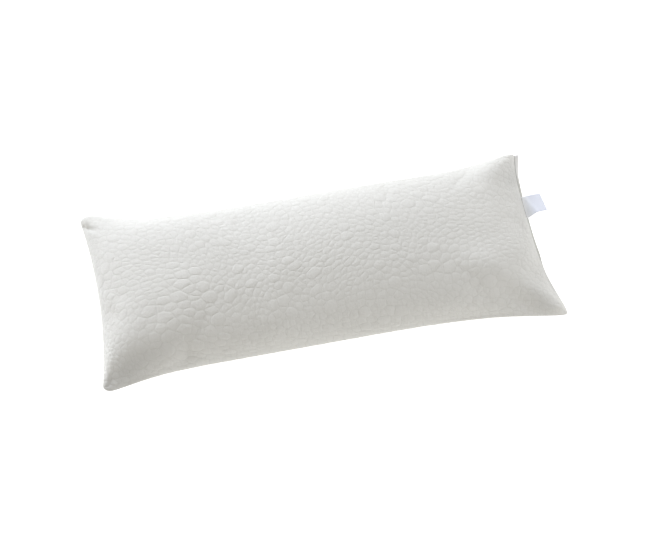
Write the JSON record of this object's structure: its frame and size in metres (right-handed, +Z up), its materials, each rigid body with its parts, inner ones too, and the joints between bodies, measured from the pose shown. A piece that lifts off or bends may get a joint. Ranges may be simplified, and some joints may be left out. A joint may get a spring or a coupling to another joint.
{
  "type": "memory foam pillow",
  "caption": "Long memory foam pillow in a pebble-knit cover, crowned with drawn-in sides and pointed corners, a closure strip and a blank label on one end.",
  "frame": {"origin": "middle of the flat patch on the underside that the pillow rests on", "axes": "+X along the length to the end with the closure strip and the label, +Y to the back edge, +Z up through the crown"},
  "size_m": [0.8868, 0.3591, 0.1408],
  "materials": {
    "cover_knit": "off-white double knit with raised pebbles between stitched grooves",
    "closure_tape": "pale greenish grey woven tape",
    "label_satin": "white satin ribbon, blank"
  },
  "bodies": {
    "root": {"pillow_body": "cover_knit", "closure_strip": "closure_tape", "care_label": "label_satin"}
  },
  "joints": []
}
